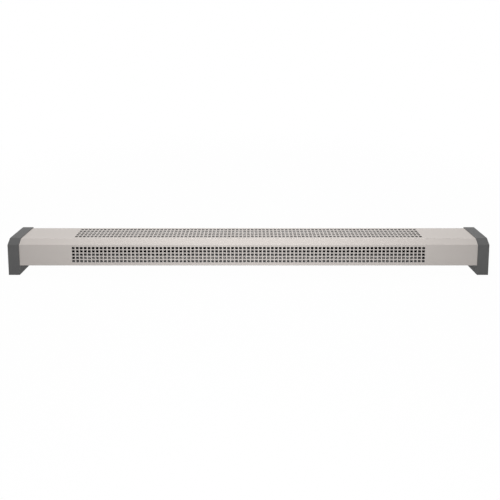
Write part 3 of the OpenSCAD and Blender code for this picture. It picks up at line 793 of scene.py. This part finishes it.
def section_block(name, start_x, end_x, inset, foot_z):
    """A block with the heater's section, inset on every side, with its slope cut at 45 degrees."""
    piece = box_piece(name, (start_x, cap_low.y + inset, foot_z),
                      (end_x, cap_high.y - inset, cap_high.z - inset))
    corner = cap_high.z - slope_size - inset * math.tan(half_slope)
    bpy.ops.object.mode_set(mode="EDIT")
    bpy.ops.mesh.select_all(action="SELECT")
    bpy.ops.mesh.bisect(plane_co=(0, cap_low.y + inset, corner), plane_no=(0, -1, 1),
                        use_fill=True, clear_outer=True)
    bpy.ops.object.mode_set(mode="OBJECT")
    return piece


print("legs end", round(leg_top / mm, 1), "mm up, in", rooms, "rooms each")

# %% The right cap
corner_r, rim_r = 1.5 * mm, 1 * mm
right_cap = section_block("right_cap_moulding", cap_low.x, cap_high.x, 0, 0)
bpy.ops.object.mode_set(mode="EDIT")
pick("EDGE", lambda middle, along: abs(along.x) > 0.9 and middle.z > 0.5 * mm and middle.y > 0)
bpy.ops.mesh.bevel(offset=corner_r, segments=5, affect="EDGES")
pick("EDGE", lambda middle, along: abs(along.x) > 0.9 and middle.z > 0.5 * mm and middle.y < 0)
bpy.ops.mesh.bevel(offset=corner_r * math.tan(half_slope), segments=4, affect="EDGES")
pick("EDGE", lambda middle, along: near(middle.x, cap_high.x) and abs(along.x) < 0.5)
bpy.ops.mesh.bevel(offset=rim_r, segments=4, affect="EDGES")
bpy.ops.object.mode_set(mode="OBJECT")
print("block of the cap has", len(right_cap.data.polygons), "faces")

# %% Hollows and screw seats of the cap
room = (cap_high.y - cap_low.y - 2 * cap_wall - (rooms - 1) * rib) / rooms
hollows = [section_block("mouth", cap_low.x - sheet, cap_high.x - cap_wall, cap_wall, low.z)]
for i in range(rooms):
    start_y = cap_low.y + cap_wall + i * (room + rib)
    hollows.append(box_piece("room", (cap_low.x + cap_wall, start_y, -sheet),
                             (cap_high.x - cap_wall, start_y + room, leg_top)))
carve(right_cap, hollows)
carve(right_cap, [bar("boss", (high.x, y, z), (cap_high.x - cap_wall / 2, y, z), boss_r)
                  for y, z in boss_places], "UNION")
cap_edge, seat_depth = 0.25 * mm, head_h + 1 * mm
seat_x = cap_high.x - seat_depth
carve(right_cap, [bar("bore", (high.x - sheet, y, z), (cap_high.x + sheet, y, z), shank_r + play)
                  for y, z in boss_places])
carve(right_cap, [bar("recess", (seat_x, y, z), (cap_high.x + sheet, y, z), head_r + play)
                  for y, z in boss_places])
softened(right_cap, cap_edge, segments=2, angle=50)
print("cap spans", [round(c, 4) for c in right_cap.dimensions])

# %% [markdown]
# The left cap is the right one seen in a mirror, and so are its screws. Mirroring turns a mesh inside
# out and leaves its shading behind, so the normals are worked out and the copy is shaded anew.

# %% The left cap, mirrored
def mirrored(piece, name):
    """A copy on the other side of the heater's middle, with its own mesh."""
    only(piece)
    bpy.ops.object.duplicate()
    copy = bpy.context.object
    copy.name = name
    bpy.ops.transform.mirror(constraint_axis=(True, False, False), center_override=(0, 0, 0))
    bpy.ops.object.transform_apply(location=True, rotation=True, scale=True)
    bpy.ops.object.mode_set(mode="EDIT")
    bpy.ops.mesh.select_all(action="SELECT")
    bpy.ops.mesh.remove_doubles(threshold=weld)
    bpy.ops.mesh.normals_make_consistent(inside=False)
    bpy.ops.mesh.customdata_custom_splitnormals_clear()
    bpy.ops.object.mode_set(mode="OBJECT")
    shaded(copy)
    return copy


left_cap = mirrored(right_cap, "left_cap_moulding")
hand_over(right_cap, "cap_plastic", "right_end_cap")
hand_over(left_cap, "cap_plastic", "left_end_cap")

# %% [markdown]
# The chassis, the reflector and the plates across the casing already have their true shape in the
# frame. Copies of them get what folding and shearing leave: bends that shade as one smooth curve, and
# edges with a slight break that catches the light.

# %% Folded sheets inside
def merged(node, name):
    """A copy of a frame piece with its mesh merged into whole faces."""
    only(frame["nodes"][node])
    bpy.ops.object.duplicate()
    copy = bpy.context.object
    copy.name = name
    del copy["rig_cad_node"]
    bpy.ops.object.mode_set(mode="EDIT")
    bpy.ops.mesh.select_all(action="SELECT")
    bpy.ops.mesh.remove_doubles(threshold=weld)
    bpy.ops.mesh.dissolve_limited(angle_limit=math.radians(0.5))
    bpy.ops.object.mode_set(mode="OBJECT")
    return copy


def refined(node, name, width=0.1 * mm):
    """A merged copy of a frame piece with its bends smooth and its edges broken."""
    copy = merged(node, name)
    softened(copy, width)
    return copy


chassis = refined("chassis", "chassis_sheet")
hand_over(chassis, "galvanised_steel", "chassis")
# The chassis takes the painted shade and the painted pool of light on its base.
chassis.data.materials[0] = painted_lit_strip_sheet()
reflector = refined("reflector", "reflector_sheet")
hand_over(reflector, "bright_aluminium", "reflector")
# The reflector takes the painted shade at its foot and its ends.
reflector.data.materials[0] = reflector_sheet()
for node in ("left_end_plate", "right_end_plate", "element_supports"):
    hand_over(refined(node, node + "_sheet"), "galvanised_steel", node)
for node in ("left_bulkhead", "right_bulkhead"):
    bulkhead = refined(node, node + "_sheet")
    hand_over(bulkhead, "galvanised_steel", node)
    # Painted shade: the bulkheads are painted nearly black.
    bulkhead.data.materials[0] = painted_shade_zinc
ceramic_edge = 0.2 * mm
for node in ("left_element_bush", "right_element_bush", "terminal_block"):
    hand_over(refined(node, node + "_steatite", ceramic_edge), "white_ceramic", node)

# %% [markdown]
# Screws and rivets are turned or headed parts. A disc is drawn up and resized step by step along the
# part's profile, as a lathe would follow it, and copies of the one part go to all of its places.

# %% Turned pieces
def turned(name, profile, sides=32):
    """A piece turned about Z, drawn up and resized from one (radius, height) to the next."""
    radius, height = profile[0]
    bpy.ops.object.select_all(action="DESELECT")
    bpy.ops.mesh.primitive_circle_add(vertices=sides, radius=radius, fill_type="NGON",
                                      location=(0, 0, height))
    piece = added(name)
    bpy.ops.object.mode_set(mode="EDIT")
    bpy.ops.mesh.select_mode(type="FACE")
    bpy.ops.mesh.select_all(action="SELECT")
    for (ra, ha), (rb, hb) in zip(profile, profile[1:]):
        bpy.ops.mesh.extrude_region_move(TRANSFORM_OT_translate={"value": (0, 0, hb - ha)})
        bpy.ops.transform.resize(value=(rb / ra, rb / ra, 1), center_override=(0, 0, 0))
    bpy.ops.mesh.select_all(action="SELECT")
    bpy.ops.mesh.normals_make_consistent(inside=False)
    bpy.ops.object.mode_set(mode="OBJECT")
    only(piece)
    bpy.ops.object.shade_smooth_by_angle(angle=math.radians(35))
    return piece


def repeated(piece, name, spots, turn=(0, 0, 0)):
    """Copies of a piece, turned by these degrees and set at each spot, joined under one name."""
    copies = []
    for spot in spots:
        only(piece)
        bpy.ops.object.duplicate()
        copy = bpy.context.object
        copy.location = spot
        copy.rotation_euler = [math.radians(angle) for angle in turn]
        bpy.ops.object.transform_apply(location=True, rotation=True, scale=True)
        copies.append(copy)
    bpy.data.objects.remove(piece)
    return joined(name, copies)


# %% [markdown]
# The casing and the caps are held by M4 screws with domed pan heads. The cross recess is made as its
# punch would make it, by two arms that narrow downwards.

# %% Pan-head screws
def pan_head_screw(name, length):
    """An M4 screw with a domed head on z = 0 and a cross recess."""
    piece = turned(name, [
        (1.5 * mm, -length), (2 * mm, 0.5 * mm - length), (2 * mm, 0), (head_r, 0),
        (head_r, 0.7 * mm), (3.45 * mm, 1.15 * mm), (3 * mm, 1.55 * mm), (2.2 * mm, 1.8 * mm),
        (1.2 * mm, head_h),
    ])
    for turn in (0, 90):
        arm = box_piece("arm", (-2.1 * mm, -0.5 * mm, 0.5 * mm), (2.1 * mm, 0.5 * mm, 3 * mm))
        bpy.ops.object.mode_set(mode="EDIT")
        pick("FACE", lambda middle, along: along.z < -0.9)
        bpy.ops.transform.resize(value=(0.4, 0.6, 1), center_override=(0, 0, 0))
        bpy.ops.object.mode_set(mode="OBJECT")
        arm.rotation_euler.z = math.radians(turn)
        only(arm)
        bpy.ops.object.transform_apply(location=True, rotation=True, scale=True)
        carve(piece, [arm])
    return piece


screw_l = 9 * mm
screws = repeated(pan_head_screw("screw", screw_l), "casing_screws_m4",
                  [(x, under_y, low.z) for x in under_xs], (180, 0, 0))
hand_over(screws, "plated_steel", "casing_screws")
screws = repeated(pan_head_screw("screw", screw_l), "rear_screws_m4",
                  [(x, high.y, rear_z) for x in rear_xs], (-90, 0, 0))
hand_over(screws, "plated_steel", "rear_screws")
cap_screw_l = seat_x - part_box("right_cap_screws")[0].x
screws = repeated(pan_head_screw("screw", cap_screw_l), "right_cap_screws_m4",
                  [(seat_x, y, z) for y, z in boss_places], (0, 90, 0))
hand_over(mirrored(screws, "left_cap_screws_m4"), "plated_steel", "left_cap_screws")
hand_over(screws, "plated_steel", "right_cap_screws")

# %% [markdown]
# The plates inside are held by blind rivets. A blind rivet has a thin dome in front, in which the end
# of its mandrel sits a little deeper, and a rounder head behind, formed as the mandrel was pulled.

# %% Blind rivets
rivet_head_r, rivet_head_h = 3 * mm, 1 * mm


def blind_rivet(grip):
    """A domed flange on z = 0, with the mandrel's stub in it, and a formed head under the grip."""
    under = -grip - rivet_head_h
    return turned("rivet", [
        (1.2 * mm, under), (2.4 * mm, under + 0.2 * mm), (rivet_head_r, -grip - 0.4 * mm),
        (rivet_head_r, -grip), (1.6 * mm, -grip), (1.6 * mm, 0), (rivet_head_r, 0),
        (rivet_head_r, 0.3 * mm), (2.4 * mm, 0.8 * mm), (1.4 * mm, rivet_head_h),
        (0.9 * mm, rivet_head_h), (0.8 * mm, 0.5 * mm), (0.4 * mm, 0.6 * mm),
    ], 24)


for node in ("end_plate_rivets", "bulkhead_rivets", "support_rivets"):
    start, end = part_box(node)
    ys = {start.y + rivet_head_r, end.y - rivet_head_r}
    if near(min(ys), max(ys)):
        ys = {(start.y + end.y) / 2}
    spots = [(x, y, end.z - rivet_head_h)
             for x in (start.x + rivet_head_r, end.x - rivet_head_r) for y in sorted(ys)]
    hand_over(repeated(blind_rivet(2 * sheet), node + "_blind", spots), "bright_aluminium", node)
start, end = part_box("reflector_rivets")
grip = end.y - start.y - 2 * rivet_head_h
spots = [(x, start.y + rivet_head_h, (start.z + end.z) / 2)
         for x in places("reflector_rivets", 5, rivet_head_r)]
hand_over(repeated(blind_rivet(grip), "reflector_rivets_blind", spots, (90, 0, 0)),
          "bright_aluminium", "reflector_rivets")

# %% [markdown]
# The gland under the left end holds the supply cable that a fitter brings. Its nut has six flats, a
# domed nose that squeezes the seal, and a bore for a 7 mm cable. The bore is left open.

# %% Cable gland
bore_r, gland_edge = 3.75 * mm, 0.2 * mm


def gland():
    """The hexagon, the domed nose and the thread, bored through, with z = 0 under the base."""
    hexagon = turned("gland", [(9.2 * mm, -5 * mm), (10 * mm, -4.5 * mm), (10 * mm, -0.5 * mm),
                               (9.2 * mm, 0)], 6)
    nose = turned("nose", [(6.2 * mm, -12 * mm), (6.9 * mm, -11.2 * mm), (7.4 * mm, -9.6 * mm),
                           (7.8 * mm, -7.6 * mm), (8 * mm, -5 * mm), (8 * mm, -4 * mm)])
    thread = turned("thread", [(6.2 * mm, -4 * mm)] + [
        (r * mm, (z + rise) * mm) for z in range(0, 8)
        for r, rise in ((6.2, 0), (6.2, 0.3), (5.6, 0.6), (5.6, 0.7))
    ] + [(6.2 * mm, 8.3 * mm), (5.8 * mm, 9 * mm)])
    carve(hexagon, [nose], "UNION")
    carve(hexagon, [thread], "UNION")
    carve(hexagon, [bar("bore", (0, 0, -13 * mm), (0, 0, 10 * mm), bore_r)])
    return hexagon


spot = middle_of("cable_gland")
spot.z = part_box("chassis")[0].z
piece = repeated(gland(), "cable_gland_moulding", [spot])
softened(piece, gland_edge, angle=50)
hand_over(piece, "black_plastic", "cable_gland")

# %% [markdown]
# What is left is small or thin and lies behind the plates: the element and its wiring. These pieces
# keep the shape that the frame gives them. Moulded and pressed ones get broken edges, round ones and
# the sleeves of the leads are only shaded as the smooth curves that they are. The flat fins of the
# element need neither, so the frame's own piece is shown.

# %% Element and wiring
edge_of = {"thermal_cutout": 0.3 * mm, "cutout_clip": 0.1 * mm, "terminal_nuts": 0.15 * mm,
           "earth_nuts": 0.15 * mm, "gland_locknut": 0.3 * mm}
for node, width in edge_of.items():
    hand_over(refined(node, node + "_part", width), slot_of[node], node)
for node in ("element_sheath", "element_beads", "terminal_studs", "earth_stud", "clip_screws",
             "clamp_screws", "block_screws", "left_lead_grommet", "right_lead_grommet",
             "live_lead", "element_lead", "neutral_lead", "earth_lead"):
    copy = merged(node, node + "_part")
    shaded(copy, 50)
    hand_over(copy, slot_of[node], node)
